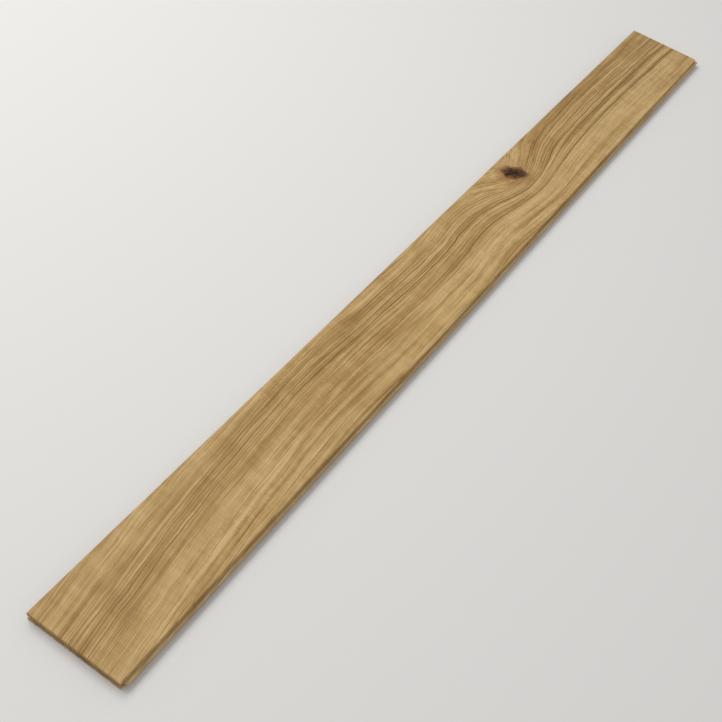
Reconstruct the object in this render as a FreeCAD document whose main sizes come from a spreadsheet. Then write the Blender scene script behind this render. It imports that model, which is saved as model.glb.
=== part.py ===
import FreeCAD, Part
import os
import Sketcher

# Solid oak wide plank for flooring: one machined piece of stock, matched on all four edges.
# X runs along the grain, Y across the board and Z up out of the wear face.
# The origin is on the underside, below the middle of the wear face.
# The long edges carry a tongue on -Y and a groove on +Y, the ends a groove on -X and a tongue on +X.

os.makedirs("parts", exist_ok=True)
doc = FreeCAD.newDocument("floorboard")

# Driving sizes in millimetres.
SIZES = [
    ("board_length", "2200", "length of the wear face, end joint to end joint"),
    ("face_width", "180", "width of the wear face, long joint to long joint"),
    ("board_thickness", "20", "underside to wear face"),
    ("wear_depth", "7.5", "wear face down to the upper cheek of the groove"),
    ("groove_height", "6.2", "opening of the groove"),
    ("groove_depth", "7", "how far the groove goes in from the face edge"),
    ("tongue_reach", "6.5", "how far the tongue stands out from the face edge"),
    ("tongue_clearance", "0.1", "play above the tongue, and the same again below it"),
    ("nose_chamfer", "1.2", "eased nose of the tongue"),
    ("lip_setback", "0.5", "lower lip of the groove held back, so that the faces close first"),
    ("micro_bevel", "1", "45 degree easing of the four edges of the wear face"),
    ("relief_count", "6", "relief grooves planed along the underside"),
    ("relief_pitch", "27", "spacing of the relief grooves"),
    ("relief_mouth", "6", "width of a relief groove at the underside"),
    ("relief_floor", "4.5", "width of a relief groove at its floor"),
    ("relief_depth", "4", "depth of a relief groove"),
]

# Places that follow from the driving sizes.
DERIVED = [
    ("groove_top", "=board_thickness - wear_depth"),
    ("groove_bottom", "=groove_top - groove_height"),
    ("tongue_top", "=groove_top - tongue_clearance"),
    ("tongue_bottom", "=groove_bottom + tongue_clearance"),
    ("half_length", "=board_length / 2"),
    ("relief_span", "=relief_pitch * (relief_count - 1)"),
]

sheet = doc.addObject("Spreadsheet::Sheet", "Sizes")
for row, (alias, value, meaning) in enumerate(SIZES, start=1):
    sheet.set("A%d" % row, alias)
    sheet.set("B%d" % row, value)
    sheet.set("C%d" % row, meaning)
    sheet.setAlias("B%d" % row, alias)
for row, (alias, formula) in enumerate(DERIVED, start=len(SIZES) + 1):
    sheet.set("A%d" % row, alias)
    sheet.set("B%d" % row, formula)
    sheet.setAlias("B%d" % row, alias)
    doc.recompute()

START = 1
END = 2
ORIGIN = (-1, START)
LEVEL_AXIS = -1


def size(alias):
    return float(sheet.get(alias))


def sketch_on(body, plane_role, name):
    plane = [f for f in body.Origin.OriginFeatures if f.Role == plane_role][0]
    sketch = body.newObject("Sketcher::SketchObject", name)
    sketch.AttachmentSupport = (plane, [""])
    sketch.MapMode = "FlatFace"
    return sketch


def outline(sketch, points):
    """Draw a closed run of lines, holding level and upright ones so, and return the corners."""
    first = sketch.GeometryCount
    count = len(points)
    vectors = [FreeCAD.Vector(across, up, 0) for across, up in points]
    for i in range(count):
        sketch.addGeometry(Part.LineSegment(vectors[i], vectors[(i + 1) % count]), False)
    for i in range(count):
        following = first + (i + 1) % count
        sketch.addConstraint(Sketcher.Constraint("Coincident", first + i, END, following, START))
        run = vectors[(i + 1) % count] - vectors[i]
        if abs(run.y) < 1e-9:
            sketch.addConstraint(Sketcher.Constraint("Horizontal", first + i))
        elif abs(run.x) < 1e-9:
            sketch.addConstraint(Sketcher.Constraint("Vertical", first + i))
    return [(first + i, START) for i in range(count)]


def span(sketch, kind, name, start, end, formula):
    """Hold the distance from one corner to another, along one axis, to the sheet."""
    run = sketch.getPoint(*end) - sketch.getPoint(*start)
    value = run.x if kind == "DistanceX" else run.y
    held = sketch.addConstraint(Sketcher.Constraint(kind, *start, *end, value))
    sketch.renameConstraint(held, name)
    sketch.setExpression("Constraints." + name, formula)


def across(sketch, name, start, end, formula):
    span(sketch, "DistanceX", name, start, end, formula)


def up(sketch, name, start, end, formula):
    span(sketch, "DistanceY", name, start, end, formula)


def cut_through(body, sketch, name):
    """Cut a profile right through the board, to both sides of its plane, and check that it cuts."""
    before = body.Shape.Volume
    pocket = body.newObject("PartDesign::Pocket", name)
    pocket.Profile = sketch
    pocket.SideType = "Symmetric"
    pocket.Type = "ThroughAll"
    doc.recompute()
    if not pocket.Shape.Volume < before:
        raise RuntimeError(name + " removes nothing")
    return pocket


body = doc.addObject("PartDesign::Body", "floorboard")
body.Label = "floorboard"

# The moulder planes the whole section in one pass: two faces, tongue, groove and lower lip.
width = size("face_width")
thickness = size("board_thickness")
groove_top = size("groove_top")
groove_bottom = size("groove_bottom")
tongue_top = size("tongue_top")
tongue_bottom = size("tongue_bottom")
depth = size("groove_depth")
reach = size("tongue_reach")
nose = size("nose_chamfer")
setback = size("lip_setback")
edge = width / 2

section = sketch_on(body, "YZ_Plane", "moulded_section")
(heel, lip_foot, lip_top, groove_low, groove_high, cheek, face_groove, face_tongue,
 shoulder_high, nose_high, tip_high, tip_low, nose_low, shoulder_low) = outline(section, [
    (-edge, 0),
    (edge - setback, 0),
    (edge - setback, groove_bottom),
    (edge - depth, groove_bottom),
    (edge - depth, groove_top),
    (edge, groove_top),
    (edge, thickness),
    (-edge, thickness),
    (-edge, tongue_top),
    (-edge - reach + nose, tongue_top),
    (-edge - reach, tongue_top - nose),
    (-edge - reach, tongue_bottom + nose),
    (-edge - reach + nose, tongue_bottom),
    (-edge, tongue_bottom),
])
section.addConstraint(Sketcher.Constraint("PointOnObject", *heel, LEVEL_AXIS))
section.addConstraint(Sketcher.Constraint("Vertical", *heel, *face_tongue))
across(section, "face_from_middle", ORIGIN, face_groove, "Sizes.face_width / 2")
across(section, "face_width", face_tongue, face_groove, "Sizes.face_width")
up(section, "thickness", heel, face_tongue, "Sizes.board_thickness")
up(section, "wear_depth", cheek, face_groove, "Sizes.wear_depth")
up(section, "groove_height", groove_low, groove_high, "Sizes.groove_height")
across(section, "groove_depth", groove_high, cheek, "Sizes.groove_depth")
across(section, "lip_setback", lip_top, cheek, "Sizes.lip_setback")
up(section, "play_above", shoulder_high, cheek, "Sizes.tongue_clearance")
up(section, "play_below", lip_top, shoulder_low, "Sizes.tongue_clearance")
across(section, "tongue_reach", tip_high, shoulder_high, "Sizes.tongue_reach")
across(section, "nose_run_high", tip_high, nose_high, "Sizes.nose_chamfer")
up(section, "nose_drop_high", tip_high, nose_high, "Sizes.nose_chamfer")
across(section, "nose_run_low", tip_low, nose_low, "Sizes.nose_chamfer")
up(section, "nose_drop_low", nose_low, tip_low, "Sizes.nose_chamfer")
doc.recompute()

stock = body.newObject("PartDesign::Pad", "moulded_stock")
stock.Profile = section
stock.SideType = "Two sides"
stock.setExpression("Length", "Sizes.half_length + Sizes.tongue_reach")
stock.setExpression("Length2", "Sizes.half_length")
doc.recompute()

# The end tongue: wood above and below it is cut off square to the shoulder, past the side tongue too.
shoulder = size("half_length")
tip = shoulder + reach

end_cuts = sketch_on(body, "XZ_Plane", "end_tongue_cuts")
(high_root, high_nose, high_tip, high_far, high_face) = outline(end_cuts, [
    (shoulder, tongue_top),
    (tip - nose, tongue_top),
    (tip, tongue_top - nose),
    (tip, thickness),
    (shoulder, thickness),
])
(low_root, low_foot, low_far, low_tip, low_nose) = outline(end_cuts, [
    (shoulder, tongue_bottom),
    (shoulder, 0),
    (tip, 0),
    (tip, tongue_bottom + nose),
    (tip - nose, tongue_bottom),
])
across(end_cuts, "shoulder_high", ORIGIN, high_root, "Sizes.half_length")
up(end_cuts, "tongue_top", ORIGIN, high_root, "Sizes.tongue_top")
up(end_cuts, "face_height", ORIGIN, high_face, "Sizes.board_thickness")
across(end_cuts, "reach_high", high_root, high_tip, "Sizes.tongue_reach")
across(end_cuts, "nose_run_high", high_nose, high_tip, "Sizes.nose_chamfer")
up(end_cuts, "nose_drop_high", high_tip, high_nose, "Sizes.nose_chamfer")
across(end_cuts, "shoulder_low", ORIGIN, low_root, "Sizes.half_length")
up(end_cuts, "tongue_bottom", ORIGIN, low_root, "Sizes.tongue_bottom")
end_cuts.addConstraint(Sketcher.Constraint("PointOnObject", *low_foot, LEVEL_AXIS))
across(end_cuts, "reach_low", low_root, low_tip, "Sizes.tongue_reach")
across(end_cuts, "nose_run_low", low_nose, low_tip, "Sizes.nose_chamfer")
up(end_cuts, "nose_drop_low", low_nose, low_tip, "Sizes.nose_chamfer")
doc.recompute()
end_tongue = cut_through(body, end_cuts, "end_tongue")

# The end groove takes the matching tongue of the next board, with its lower lip held back as well.
slot = sketch_on(body, "XZ_Plane", "end_groove_slot")
(mouth, floor_high, floor_low, lip_inside, lip_low, foot) = outline(slot, [
    (-shoulder, groove_top),
    (-shoulder + depth, groove_top),
    (-shoulder + depth, groove_bottom),
    (-shoulder + setback, groove_bottom),
    (-shoulder + setback, 0),
    (-shoulder, 0),
])
across(slot, "end_from_middle", mouth, ORIGIN, "Sizes.half_length")
up(slot, "groove_top", ORIGIN, mouth, "Sizes.groove_top")
across(slot, "groove_depth", mouth, floor_high, "Sizes.groove_depth")
up(slot, "groove_height", floor_low, floor_high, "Sizes.groove_height")
across(slot, "lip_setback", mouth, lip_inside, "Sizes.lip_setback")
slot.addConstraint(Sketcher.Constraint("PointOnObject", *foot, LEVEL_AXIS))
doc.recompute()
end_groove = cut_through(body, slot, "end_groove")

# Relief grooves along the underside let a wide board lie flat; the cutter leaves sloping cheeks.
first_groove = -size("relief_span") / 2
half_mouth = size("relief_mouth") / 2
half_floor = size("relief_floor") / 2
relief_depth = size("relief_depth")

kerf = sketch_on(body, "YZ_Plane", "relief_section")
(mouth_left, mouth_right, floor_right, floor_left) = outline(kerf, [
    (first_groove - half_mouth, 0),
    (first_groove + half_mouth, 0),
    (first_groove + half_floor, relief_depth),
    (first_groove - half_floor, relief_depth),
])
kerf.addConstraint(Sketcher.Constraint("PointOnObject", *mouth_left, LEVEL_AXIS))
across(kerf, "mouth_place", mouth_left, ORIGIN, "(Sizes.relief_span + Sizes.relief_mouth) / 2")
across(kerf, "mouth_width", mouth_left, mouth_right, "Sizes.relief_mouth")
across(kerf, "floor_width", floor_left, floor_right, "Sizes.relief_floor")
across(kerf, "cheek_run", mouth_left, floor_left, "(Sizes.relief_mouth - Sizes.relief_floor) / 2")
up(kerf, "relief_depth", mouth_left, floor_left, "Sizes.relief_depth")
doc.recompute()
relief = cut_through(body, kerf, "relief_groove")

relief_row = body.newObject("PartDesign::LinearPattern", "relief_row")
relief_row.Originals = [relief]
relief_row.Direction = (kerf, ["H_Axis"])
relief_row.setExpression("Length", "Sizes.relief_span")
relief_row.setExpression("Occurrences", "Sizes.relief_count")
body.Tip = relief_row
doc.recompute()

# A fine bevel runs round all four edges of the wear face and makes the thin V between boards.
wear_faces = [
    "Face%d" % (i + 1)
    for i, face in enumerate(relief_row.Shape.Faces)
    if face.BoundBox.ZMin > thickness - 1e-6
]
bevel = body.newObject("PartDesign::Chamfer", "face_bevel")
bevel.Base = (relief_row, wear_faces)
bevel.setExpression("Size", "Sizes.micro_bevel")
body.Tip = bevel
doc.recompute()

for item in doc.Objects:
    if "Invalid" in item.State or "Error" in item.State:
        raise RuntimeError(item.Name + " failed: " + ", ".join(item.State))
for sketch in (section, end_cuts, slot, kerf):
    if sketch.solve() != 0:
        raise RuntimeError(sketch.Name + " does not solve")
if body.Shape.isNull() or not body.Shape.isValid() or len(body.Shape.Solids) != 1:
    raise RuntimeError("the floorboard is not one sound solid")

body.Shape.exportStep("parts/" + body.Label + ".step")
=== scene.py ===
import math

import bmesh
import bpy
from mathutils import Matrix, Vector, noise


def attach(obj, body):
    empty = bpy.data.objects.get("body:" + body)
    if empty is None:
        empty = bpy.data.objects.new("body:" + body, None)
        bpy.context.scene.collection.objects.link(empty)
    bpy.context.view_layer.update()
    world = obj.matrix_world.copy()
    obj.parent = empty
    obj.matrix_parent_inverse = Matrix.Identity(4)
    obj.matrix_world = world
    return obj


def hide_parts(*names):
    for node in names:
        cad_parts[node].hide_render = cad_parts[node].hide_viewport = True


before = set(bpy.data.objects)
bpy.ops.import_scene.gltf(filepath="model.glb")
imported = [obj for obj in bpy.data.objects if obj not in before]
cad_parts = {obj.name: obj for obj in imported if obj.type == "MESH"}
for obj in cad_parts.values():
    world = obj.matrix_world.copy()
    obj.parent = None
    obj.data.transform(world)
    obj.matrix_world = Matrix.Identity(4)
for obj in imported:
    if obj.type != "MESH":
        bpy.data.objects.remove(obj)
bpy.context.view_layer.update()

# Floorboard: one plank of solid oak with a tongue and a groove worked on its edges and ends.
# A moulder planes the section along the grain and a tenoner then cuts both ends to match.
# The wear face and its fine bevels are sanded and lacquered; edges and underside stay bare.
MM = 0.001
half_length = 1100.0
half_width = 90.0
thickness = 20.0
tongue_reach = 6.5
tongue_low, tongue_high = 6.4, 12.4
nose = 1.2
groove_depth = 7.0
groove_low, groove_high = 6.3, 12.5
lip_setback = 0.5
face_bevel = 1.0
relief_count = 6
relief_pitch = 27.0
relief_depth = 4.0
relief_half_mouth, relief_half_floor = 3.0, 2.25
overrun = 10.0
nose_overrun = 1.5

side_tip = half_width + tongue_reach
moulded_section = [
    (-half_width, 0), (half_width - lip_setback, 0), (half_width - lip_setback, groove_low),
    (half_width - groove_depth, groove_low), (half_width - groove_depth, groove_high),
    (half_width, groove_high), (half_width, thickness - face_bevel),
    (half_width - face_bevel, thickness), (face_bevel - half_width, thickness),
    (-half_width, thickness - face_bevel), (-half_width, tongue_high),
    (nose - side_tip, tongue_high), (-side_tip, tongue_high - nose),
    (-side_tip, tongue_low + nose), (nose - side_tip, tongue_low), (-half_width, tongue_low),
]
relief_half_start = 2 * relief_half_mouth - relief_half_floor
relief_section = [
    (-relief_half_start, -relief_depth), (relief_half_start, -relief_depth),
    (relief_half_floor, relief_depth), (-relief_half_floor, relief_depth),
]
end_tip = half_length + tongue_reach
past_tip = end_tip + nose_overrun
above = thickness + overrun
bevel_start = half_length - face_bevel - overrun
over_end_tongue = [
    (half_length, tongue_high), (half_length, thickness - face_bevel), (bevel_start, above),
    (past_tip, above), (past_tip, tongue_high - nose - nose_overrun), (end_tip - nose, tongue_high),
]
under_end_tongue = [
    (half_length, tongue_low), (end_tip - nose, tongue_low),
    (past_tip, tongue_low + nose + nose_overrun), (past_tip, -overrun), (half_length, -overrun),
]
end_groove = [
    (groove_depth - half_length, groove_high), (groove_depth - half_length, groove_low),
    (lip_setback - half_length, groove_low), (lip_setback - half_length, -overrun),
    (-half_length - overrun, -overrun), (-half_length - overrun, above), (-bevel_start, above),
    (-half_length, thickness - face_bevel), (-half_length, groove_high),
]

# The cutters' outlines, each with the number of the pass that it belongs to. A swept outline
# lands turned half round in a pass along the plank, and upside down in a pass across it.
PLANING, RELIEVING, END_CUTTING = 0, 1, 2
outlines = bpy.data.meshes.new("cutter_outlines")
corners, edges, passes = [], [], []
for number, outline, turn_across in [
    (PLANING, moulded_section, -1), (RELIEVING, relief_section, -1),
    (END_CUTTING, over_end_tongue, 1), (END_CUTTING, under_end_tongue, 1),
    (END_CUTTING, end_groove, 1),
]:
    first = len(corners)
    corners += [(a * turn_across * MM, -b * MM, 0) for a, b in outline]
    edges += [(first + i, first + (i + 1) % len(outline)) for i in range(len(outline))]
    passes += [number] * len(outline)
outlines.from_pydata(corners, edges, [])
outlines.attributes.new("pass", "INT", "POINT").data.foreach_set("value", passes)
floorboard = bpy.data.objects.new("oak_floorboard", outlines)
bpy.context.scene.collection.objects.link(floorboard)

oak = bpy.data.materials.new("lacquered_oak")
oak.use_nodes = True

milling = bpy.data.node_groups.new("plank_milling", "GeometryNodeTree")
sizes = {}
for name, kind in [
    ("Outlines", "NodeSocketGeometry"), ("Half length", "NodeSocketFloat"),
    ("End tongue", "NodeSocketFloat"), ("Half cross cut", "NodeSocketFloat"),
    ("Relief grooves", "NodeSocketInt"), ("Relief pitch", "NodeSocketFloat"),
    ("Run-out", "NodeSocketFloat"), ("Oak", "NodeSocketMaterial"),
]:
    socket = milling.interface.new_socket(name, in_out="INPUT", socket_type=kind)
    sizes[name] = socket.identifier
milling.interface.new_socket("Plank", in_out="OUTPUT", socket_type="NodeSocketGeometry")
given = milling.nodes.new("NodeGroupInput").outputs
result = milling.nodes.new("NodeGroupOutput")


def mill(kind, settings, inputs):
    """Add a node to the milling and give its first output; a list links several to one input."""
    node = milling.nodes.new(kind)
    for setting, value in settings.items():
        setattr(node, setting, value)
    for name, values in inputs.items():
        for value in values if isinstance(values, list) else [values]:
            if isinstance(value, bpy.types.NodeSocket):
                milling.links.new(value, node.inputs[name])
            else:
                node.inputs[name].default_value = value
    return node.outputs[0]


def sums(operation, first, second):
    return mill("ShaderNodeMath", {"operation": operation}, {0: first, 1: second})


def run(axis, start, end):
    """A straight run of a cutter along one axis."""
    here = mill("ShaderNodeCombineXYZ", {}, {axis: start})
    there = mill("ShaderNodeCombineXYZ", {}, {axis: end})
    return mill("GeometryNodeCurvePrimitiveLine", {}, {"Start": here, "End": there})


def swept(number, path):
    """The solid that the outlines of one pass leave along a path."""
    passed = mill("GeometryNodeInputNamedAttribute", {"data_type": "INT"}, {"Name": "pass"})
    mine = mill("FunctionNodeCompare", {"data_type": "INT", "operation": "EQUAL"},
                {2: passed, 3: number})
    kept = mill("GeometryNodeSeparateGeometry", {},
                {"Geometry": given["Outlines"], "Selection": mine})
    loop = mill("GeometryNodeMeshToCurve", {}, {"Mesh": kept})
    return mill("GeometryNodeCurveToMesh", {},
                {"Curve": path, "Profile Curve": loop, "Fill Caps": True})


groove_end = sums("MULTIPLY", given["Half length"], -1.0)
tongue_end = sums("ADD", given["Half length"], given["End tongue"])
stock = swept(PLANING, run("X", groove_end, tongue_end))
relief_bar = swept(RELIEVING, run("X", sums("SUBTRACT", groove_end, given["Run-out"]),
                                  sums("ADD", tongue_end, given["Run-out"])))
cross_start = sums("MULTIPLY", given["Half cross cut"], -1.0)
end_cutters = swept(END_CUTTING, run("Y", cross_start, given["Half cross cut"]))

relief_gaps = sums("SUBTRACT", given["Relief grooves"], 1.0)
relief_span = sums("MULTIPLY", relief_gaps, given["Relief pitch"])
first_relief = mill("ShaderNodeCombineXYZ", {}, {"Y": sums("MULTIPLY", relief_span, -0.5)})
relief_step = mill("ShaderNodeCombineXYZ", {}, {"Y": given["Relief pitch"]})
relief_places = mill("GeometryNodeMeshLine", {}, {
    "Count": given["Relief grooves"], "Start Location": first_relief, "Offset": relief_step})
relief_bars = mill("GeometryNodeInstanceOnPoints", {},
                   {"Points": relief_places, "Instance": relief_bar})
relief_row = mill("GeometryNodeRealizeInstances", {}, {"Geometry": relief_bars})
milled = mill("GeometryNodeMeshBoolean", {"operation": "DIFFERENCE", "solver": "MANIFOLD"},
              {"Mesh 1": stock, "Mesh 2": [relief_row, end_cutters]})
whole = mill("GeometryNodeRealizeInstances", {}, {"Geometry": milled})
plank = mill("GeometryNodeSetMaterial", {}, {"Geometry": whole, "Material": given["Oak"]})
milling.links.new(plank, result.inputs["Plank"])

planing = floorboard.modifiers.new("planing", "NODES")
planing.node_group = milling
for name, value in [
    ("Half length", half_length * MM), ("End tongue", tongue_reach * MM),
    ("Half cross cut", (side_tip + 2 * overrun) * MM), ("Relief grooves", relief_count),
    ("Relief pitch", relief_pitch * MM), ("Run-out", overrun * MM), ("Oak", oak),
]:
    planing[sizes[name]] = value
planed = floorboard.evaluated_get(bpy.context.evaluated_depsgraph_get())
cut_mesh = bpy.data.meshes.new_from_object(planed)
floorboard.modifiers.clear()
floorboard.data = cut_mesh
bpy.data.meshes.remove(outlines)
bpy.data.node_groups.remove(milling)
cut_mesh.name = "oak_floorboard"

# The knot is the foot of a branch, dried hard and dark and opened in checks round its heart.
knot_x, knot_y = 333.0, 41.0
knot_field = 28.0
knot_cuts = 124
check_depth = 0.6
field_margin = 0.2
check_sways = [(7.0, 1.6), (1.7, 0.5)]
checks = [
    # start and end in mm from the heart, and half the width
    ((-22, 15), (21, -15), 1.9), ((-3, 1), (4, 19), 1.2),
    ((-2, 3), (-14, -8), 0.8), ((5, -4), (17, 3), 0.7),
]


def open_check(x, y):
    """How far the knot is open at a point in mm from its heart: 0 on sound wood, 1 in a check."""
    widest = 0.0
    for number, (start, end, gape) in enumerate(checks):
        line = Vector(end) - Vector(start)
        place = Vector((x, y)) - Vector(start)
        out = place.dot(line) / line.length
        aside = place.dot(Vector((-line.y, line.x))) / line.length
        for length, sway in check_sways:
            aside += sway * noise.noise(Vector((out / length, number + 0.5, length)))
        share = out / line.length
        if 0 < share < 1:
            taper = gape * (4.0 * share * (1.0 - share)) ** 0.8
            widest = max(widest, 2.0 * (1.0 - abs(aside) / taper))
    return min(1.0, widest)


def on_wear_face(face):
    return face.normal.z > 0.99 and face.calc_center_median().z > (thickness - face_bevel) * MM


heart = Vector((knot_x, knot_y, thickness)) * MM
shape = bmesh.new()
shape.from_mesh(cut_mesh)
for axis in [Vector((1, 0, 0)), Vector((0, 1, 0))]:
    for side in [-1, 1]:
        top = [face for face in shape.faces if on_wear_face(face)]
        if axis.y:
            top = [f for f in top if abs(f.calc_center_median().x - heart.x) < knot_field * MM]
        around = {part for face in top for part in [*face.edges, *face.verts]}
        bmesh.ops.bisect_plane(shape, geom=[*top, *around], plane_no=axis,
                               plane_co=heart + axis * side * knot_field * MM)
window = min((face for face in shape.faces if on_wear_face(face)),
             key=lambda face: (face.calc_center_median() - heart).length)
bmesh.ops.subdivide_edges(shape, edges=window.edges[:], cuts=knot_cuts, use_grid_fill=True)
check_layer = shape.verts.layers.float.new("check")
for vertex in shape.verts:
    place = (vertex.co - heart) / MM
    if abs(place.z) < field_margin and max(abs(place.x), abs(place.y)) < knot_field - field_margin:
        vertex[check_layer] = open_check(place.x, place.y)
        vertex.co.z -= check_depth * MM * vertex[check_layer] ** 0.5
for face in shape.faces:
    face.smooth = len(face.verts) == 4 and face.calc_area() < MM * MM
shape.to_mesh(cut_mesh)
shape.free()


# The timber has its rings round a pith below and beyond the groove edge, so it is rift sawn.
# All of it is worked out in mm from the plank's own coordinates, so that the edges, the ends
# and the underside are cut through the same rings as the wear face.
class Grain:
    """A value that changes through the timber; arithmetic on it adds Math nodes to the oak."""

    def __init__(self, socket):
        self.socket = socket

    @classmethod
    def node(cls, kind, settings, inputs, output=0):
        made = oak.node_tree.nodes.new(kind)
        for setting, value in settings.items():
            if setting == "stops":
                stops = made.color_ramp.elements
                while len(stops) < len(value):
                    stops.new(0.5)
                for stop, (place, colour) in zip(stops, value):
                    stop.position = place
                    stop.color = (*colour, 1.0)
            elif setting == "bends":
                points = made.mapping.curves[0].points
                while len(points) < len(value):
                    points.new(0.5, 0.5)
                for point, place in zip(points, value):
                    point.location = place
                made.mapping.update()
            else:
                setattr(made, setting, value)
        for name, value in inputs.items():
            if isinstance(value, Grain):
                oak.node_tree.links.new(value.socket, made.inputs[name])
            else:
                made.inputs[name].default_value = value
        return cls(made.outputs[output])

    @classmethod
    def maths(cls, operation, *values):
        return cls.node("ShaderNodeMath", {"operation": operation}, dict(enumerate(values)))

    def __add__(self, other):
        return Grain.maths("ADD", self, other)

    def __radd__(self, other):
        return Grain.maths("ADD", other, self)

    def __sub__(self, other):
        return Grain.maths("SUBTRACT", self, other)

    def __rsub__(self, other):
        return Grain.maths("SUBTRACT", other, self)

    def __mul__(self, other):
        return Grain.maths("MULTIPLY", self, other)

    def __rmul__(self, other):
        return Grain.maths("MULTIPLY", other, self)

    def __truediv__(self, other):
        return Grain.maths("DIVIDE", self, other)

    def __rtruediv__(self, other):
        return Grain.maths("DIVIDE", other, self)

    def __pow__(self, other):
        return Grain.maths("POWER", self, other)

    def __rpow__(self, other):
        return Grain.maths("POWER", other, self)

    def between(self, low, high):
        """0 below low and 1 above high, smooth between them; low may be the larger."""
        return Grain.node("ShaderNodeMapRange", {"interpolation_type": "SMOOTHSTEP"},
                          {"Value": self, "From Min": low, "From Max": high})


def at(x, y, z):
    return Grain.node("ShaderNodeCombineXYZ", {}, {"X": x, "Y": y, "Z": z})


def cloud(place, detail=2.0, roughness=0.5):
    """Soft noise about zero, from -1 to 1."""
    found = Grain.node("ShaderNodeTexNoise", {"noise_dimensions": "3D"}, {
        "Vector": place, "Scale": 1.0, "Detail": detail, "Roughness": roughness})
    return found * 2.0 - 1.0


def bell(squares):
    """1 where a sum of squares is zero, falling off to 0 round it."""
    return Grain.maths("EXPONENT", squares * -1.0)


def blend(amount, under, over, way="MIX"):
    colour = over if isinstance(over, Grain) else (*over, 1.0)
    return Grain.node("ShaderNodeMix", {"data_type": "RGBA", "blend_type": way},
                      {0: amount, 6: under, 7: colour}, output=2)


OBJECT, NORMAL = 3, 1
where = Grain.node("ShaderNodeTexCoord", {}, {}, OBJECT)
facing = Grain.node("ShaderNodeTexCoord", {}, {}, NORMAL)
along, across, up = (
    Grain.node("ShaderNodeSeparateXYZ", {}, {"Vector": where}, axis) / MM for axis in range(3))
facing_end = Grain.node("ShaderNodeSeparateXYZ", {}, {"Vector": facing})
end_grain = Grain.maths("ABSOLUTE", facing_end).between(0.75, 0.95)


def mottle(length, breadth, detail=2.0):
    """Noise that follows the plank: its length along it and its breadth across and through it."""
    return cloud(at(along / length, across / breadth, up / breadth), detail)


# The lines of grain swing sideways: stations along the plank, and the swing there in mm.
swing_stations = [
    (-1100, -14), (-1003, 0), (-823, 27), (-690, 40), (-553, 48), (-430, 50), (-200, 42),
    (0, 40), (120, 50), (200, 47), (330, 40), (520, 38), (800, 40), (1107, 30),
]
swing_range = 100.0
whole_length = 2 * half_length + tongue_reach
swing_curve = Grain.node("ShaderNodeFloatCurve", {"bends": [
    ((x + half_length) / whole_length, 0.5 + y / swing_range) for x, y in swing_stations
]}, {"Value": (along + half_length) / whole_length})
swing = (swing_curve - 0.5) * swing_range
sway = mottle(420, 240) * 9.0 + mottle(120, 46) * 3.0 + mottle(34, 12, 3.0) * 1.6

pith_across, pith_up = 150.0, -60.0
stem_radius = 180.0
from_pith_y = across - swing - sway - pith_across
from_pith_z = up - pith_up
radius = (from_pith_y * from_pith_y + from_pith_z * from_pith_z) ** 0.5
tangent = Grain.maths("ARCTAN2", 0.0 - from_pith_y, from_pith_z) * stem_radius

# The branch leaves the pith at a slant, so the knot lies nearer to the groove edge underneath.
# The rings bulge round it, and inside it they turn into rings of its own.
knot_size = 22.0
knot_stretch = 1.25
knot_turn = math.radians(-33)
bulge_height, bulge_length, bulge_breadth = 46.0, 105.0, 80.0
knot_rise = 0.42
outline_seed = 12.3
branch_slant = (pith_across - knot_y) / (thickness - pith_up)
knot_dx = along - knot_x
knot_dy = across - knot_y - (thickness - up) * branch_slant
bulge = bell(knot_dx * knot_dx / bulge_length ** 2
             + knot_dy * knot_dy / bulge_breadth ** 2) * bulge_height
knot_long = knot_dx * math.cos(knot_turn) + knot_dy * math.sin(knot_turn)
knot_short = knot_dy * math.cos(knot_turn) - knot_dx * math.sin(knot_turn)
from_heart = (knot_long * knot_long / knot_stretch ** 2 + knot_short * knot_short) ** 0.5
ragged = cloud(at(along / 21, across / 21, up / 40 + outline_seed), 3.0, 0.6)
in_from_rim = knot_size - from_heart - ragged * 17.0
ring_wobble = cloud(at(along / 15, across / 15, up / 40)) * 6.0
own_rings = Grain.maths("SMOOTH_MAX", knot_size - from_heart - ring_wobble, 0.0, 9.0)
age = radius - bulge - own_rings / knot_rise


def figure(length, depth, girth, detail=2.0, roughness=0.5):
    """Noise that follows the grain: its length along it, depth across rings, girth round them."""
    return cloud(at(along / length, age / depth, tangent / girth), detail, roughness)


# A run of slow years crosses the face as a band of closer, darker lines, wider past the middle.
# Beyond the knot the wood that grew after it is darker too, in a trail beside the groove edge.
slow_age, slow_spread, slow_widening = 172.0, 24.0, 18.0
widening_start, widening_end = -500.0, 400.0
trail_age, trail_spread = 138.0, 15.0
trail_start, trail_full = 350.0, 480.0
ring_width = 5.0
past_middle = along.between(widening_start, widening_end)
from_slow = (age - slow_age - past_middle * slow_widening) / (
    slow_spread + past_middle * slow_widening)
slow_years = bell(from_slow ** 2.0)
from_trail = (age - trail_age) / trail_spread
trail = bell(from_trail ** 2.0) * along.between(trail_start, trail_full)
bands = figure(900, 10.0, 60.0)
dark_bands = bands.between(-0.02, -0.36) * (0.15 + past_middle * slow_years)
year = (age + cloud(at(age / 26, 3.1, 7.7)) * 9.0) / ring_width
season = Grain.maths("FRACT", year)
luck = Grain.node("ShaderNodeTexWhiteNoise", {"noise_dimensions": "1D"},
                  {"W": Grain.maths("FLOOR", year)})
early_wood = season.between(0.0, 0.10) * season.between(luck * 0.4 + 0.5, 0.16)
broken = figure(70, 2.2, 8.0, 3.0, 0.6)
fading = cloud(at(along / 330, age / 5.0, 4.2))
strength = 0.12 + slow_years * (0.15 + luck ** 2.0 * 1.1) * (1.0 + past_middle * 0.8) \
    + bulge * luck * 0.010 + dark_bands * 0.5 + fading * 0.5 + broken * 0.35
shown = Grain.maths("MAXIMUM", strength, 0.0)
line = early_wood * shown

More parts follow.
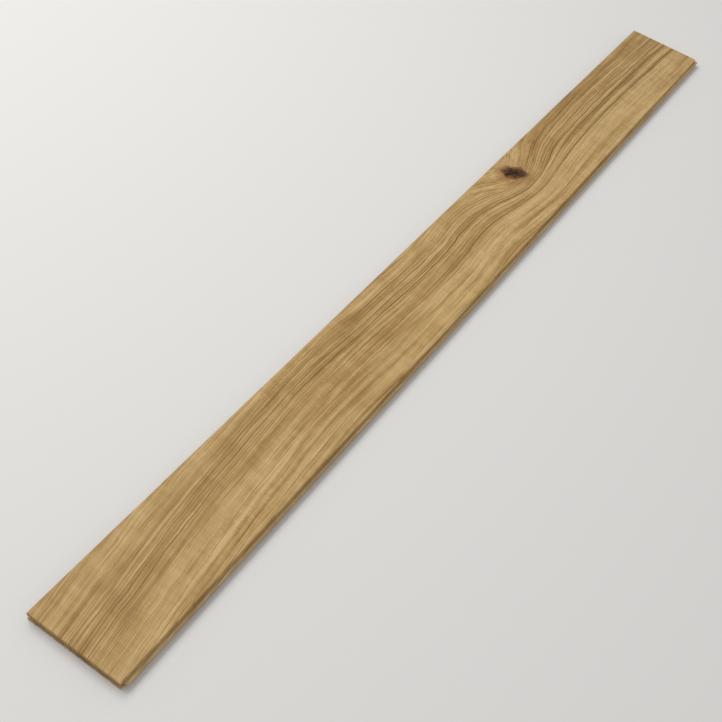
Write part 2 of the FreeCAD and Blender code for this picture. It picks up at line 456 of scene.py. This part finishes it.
# Pores stand in rows in the early wood and singly elsewhere, and rays end as short dark ticks.
# Strong streaks come in lively groups; between them the wood is calm and a curl crosses it.
pores = figure(9, 0.34, 0.6, 1.0)
row_pores = pores.between(0.10, 0.32) * early_wood * (shown * 0.6 + 0.35)
lone_pores = pores.between(0.36, 0.50)
ray_ends = cloud(at(along / 9, tangent / 0.55, age / 40), 1.0).between(0.34, 0.55)
fleck_zone = mottle(170, 55).between(-0.05, 0.35)
flecks = cloud(at(along / 3.2, tangent / 3.4, age / 14)).between(0.0, 0.5) * fleck_zone
fibres = figure(60, 1.1, 2.0)
streaks = figure(170, 3.0, 10.0, 3.0, 0.75)
lively = Grain.maths("MAXIMUM", figure(700, 17.0, 70.0).between(-0.20, 0.30), slow_years * 0.8)
patches = figure(120, 26.0, 26.0, 3.0, 0.6)
curl = mottle(17, 52)

dark_oak, oak_brown = (0.235, 0.126, 0.036), (0.420, 0.257, 0.089)
pale_oak = (0.640, 0.446, 0.205)
line_brown, row_pore_brown = (0.200, 0.105, 0.031), (0.125, 0.064, 0.020)
lone_pore_brown, ray_brown = (0.150, 0.080, 0.026), (0.225, 0.126, 0.044)
tone = 0.68 + bands * 0.40 + patches * 0.34 + streaks * (0.50 + lively * 0.62) + fibres * 0.32 \
    + flecks * 0.22 + curl * (0.24 - lively * 0.10) - season * 0.06 \
    - slow_years * (0.12 - past_middle * 0.10) - lively * 0.06 - trail * 0.38 \
    - dark_bands * 0.30 + past_middle * 0.09
colour = Grain.node("ShaderNodeValToRGB", {"stops": [
    (0.0, dark_oak), (0.5, oak_brown), (1.0, pale_oak)]}, {"Fac": tone})
colour = blend(line * 0.78, colour, line_brown)
colour = blend(row_pores * 0.70, colour, row_pore_brown)
colour = blend(lone_pores * 0.42, colour, lone_pore_brown)
colour = blend(ray_ends * 0.25, colour, ray_brown)

# Lacquer deepens the wear face and its bevels; bare wood is paler, and darker where cut across.
bare_oak, end_shade = (0.520, 0.385, 0.220), (0.66, 0.58, 0.50)
end_pore_brown, end_ray = (0.070, 0.036, 0.014), (0.430, 0.300, 0.165)
lacquer_foot = thickness - 1.4 * face_bevel
lacquer = up.between(lacquer_foot, lacquer_foot + 0.3)
colour = blend((1.0 - lacquer) * 0.30, colour, bare_oak)
colour = blend(end_grain * 0.7, colour, end_shade, "MULTIPLY")
colour = blend(end_grain * row_pores * 0.8, colour, end_pore_brown)
colour = blend(end_grain * ray_ends * 0.55, colour, end_ray)

# Round the knot the wood is stained red on one side; its own wood is brown to black. Its open
# checks are painted near black, a painted shade for their depth.
stain_red = (0.300, 0.108, 0.040)
knot_black, knot_dark = (0.020, 0.006, 0.0005), (0.062, 0.024, 0.004)
knot_brown = (0.240, 0.122, 0.036)
rim_dark, check_painted_shade = (0.046, 0.018, 0.003), (0.010, 0.004, 0.001)
stain_side = 1.0 - (knot_dx + knot_dy * 0.5).between(-10.0, 40.0)
stain_edge = cloud(at(along / 26, across / 12, up / 30)) * 9.0
stain = (in_from_rim + stain_edge).between(-24.0, 0.0) * (0.15 + stain_side * 0.45)
colour = blend(stain, colour, stain_red)
in_knot = (in_from_rim + fibres * 4.0 + early_wood * 1.5).between(-3.5, 3.5)
spokes = cloud(at(knot_long / from_heart * 4.0, knot_short / from_heart * 4.0, from_heart / 26),
               3.0, 0.6)
lobes = cloud(at(along / 15, across / 15, up / 30 + outline_seed), 3.0, 0.6)
knot_tone = 0.30 + lobes * 1.20 + spokes * 0.45 - early_wood * 0.25 \
    + from_heart * from_heart / 900.0
knot_wood = Grain.node("ShaderNodeValToRGB", {"stops": [
    (0.0, knot_black), (0.4, knot_dark), (1.0, knot_brown)]}, {"Fac": knot_tone})
colour = blend(in_knot * 0.96, colour, knot_wood)
rim = in_from_rim.between(6.0, 1.0) * in_from_rim.between(-5.0, 0.0) * (0.3 + spokes)
colour = blend(rim * 0.7, colour, rim_dark)
# Painted shade: the open checks are coloured near black to stand for the depth of the cracks, which
# the mesh sinks only a little.
VALUE = 2
check = Grain.node("ShaderNodeAttribute", {"attribute_name": "check"}, {}, VALUE)
colour = blend(check.between(0.1, 0.7), colour, check_painted_shade)

rough = 0.66 - lacquer * 0.22 + line * 0.06 + patches * 0.06 + check * 0.2
relief = fibres * 0.06 - line * 0.2 - row_pores * 0.6
nudge = Grain.node("ShaderNodeBump", {}, {
    "Strength": 0.12, "Distance": 0.3 * MM, "Height": relief})
surface = oak.node_tree.nodes["Principled BSDF"].inputs
surface["Specular IOR Level"].default_value = 0.18
for name, value in [("Base Color", colour), ("Roughness", rough), ("Normal", nudge)]:
    oak.node_tree.links.new(value.socket, surface[name])

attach(floorboard, "root")
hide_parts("floorboard")

# Floor: a plain pale sheet under the plank, wide enough to fill any view, which takes only
# the plank's shadow. It lies a hair below the underside, so that the two never coincide.
floor_radius = 40.0
floor_drop = 0.2
sheet = bpy.data.meshes.new("studio_floor")
disc = bmesh.new()
bmesh.ops.create_circle(disc, cap_ends=True, segments=128, radius=floor_radius)
disc.to_mesh(sheet)
disc.free()
floor = bpy.data.objects.new("studio_floor", sheet)
floor.location.z = -floor_drop * MM
bpy.context.scene.collection.objects.link(floor)
paper = bpy.data.materials.new("pale_paper")
paper.use_nodes = True
paper_surface = paper.node_tree.nodes["Principled BSDF"].inputs
paper_surface["Base Color"].default_value = (0.74, 0.73, 0.71, 1.0)
paper_surface["Roughness"].default_value = 0.9
sheet.materials.append(paper)

# Light: an even pale sky, and one broad soft lamp beside the middle of the plank, so that
# both of its ends get as much.
scene = bpy.context.scene
scene.view_settings.view_transform = "Standard"
scene.world = bpy.data.worlds.new("even_sky")
scene.world.use_nodes = True
sky = scene.world.node_tree.nodes["Background"].inputs
sky["Color"].default_value = (1.0, 1.0, 1.0, 1.0)
sky["Strength"].default_value = 0.55
lamp = bpy.data.lights.new("window_lamp", "AREA")
lamp.shape = "RECTANGLE"
lamp.size, lamp.size_y = 4.0, 2.0
lamp.energy = 112
window_lamp = bpy.data.objects.new("window_lamp", lamp)
window_lamp.location = (-0.2, 2.6, 3.4)
window_lamp.rotation_euler = (-window_lamp.location).to_track_quat("-Z", "Y").to_euler()
scene.collection.objects.link(window_lamp)

# Camera: looks down along the plank at the photograph's angle and with its lens and height,
# but stands further to the side, so that the whole length is in view.
heading, dip, roll = math.radians(23.89), math.radians(47.67), math.radians(-13.36)
camera_place = (-1.66, -0.586, 1.582)
focal_pixels, picture_width, sensor = 1151.2, 722, 36.0
level_ahead = Vector((math.cos(heading), math.sin(heading), 0))
ahead = math.cos(dip) * level_ahead - math.sin(dip) * Vector((0, 0, 1))
level_right = Vector((math.sin(heading), -math.cos(heading), 0))
level_down = ahead.cross(level_right)
right = math.cos(roll) * level_right + math.sin(roll) * level_down
down = math.cos(roll) * level_down - math.sin(roll) * level_right
lens = bpy.data.cameras.new("camera")
lens.sensor_width = sensor
lens.lens = sensor * focal_pixels / picture_width
camera = bpy.data.objects.new("camera", lens)
turn = Matrix((right, -down, -ahead)).transposed()
camera.matrix_world = Matrix.Translation(camera_place) @ turn.to_4x4()
scene.collection.objects.link(camera)
scene.camera = camera
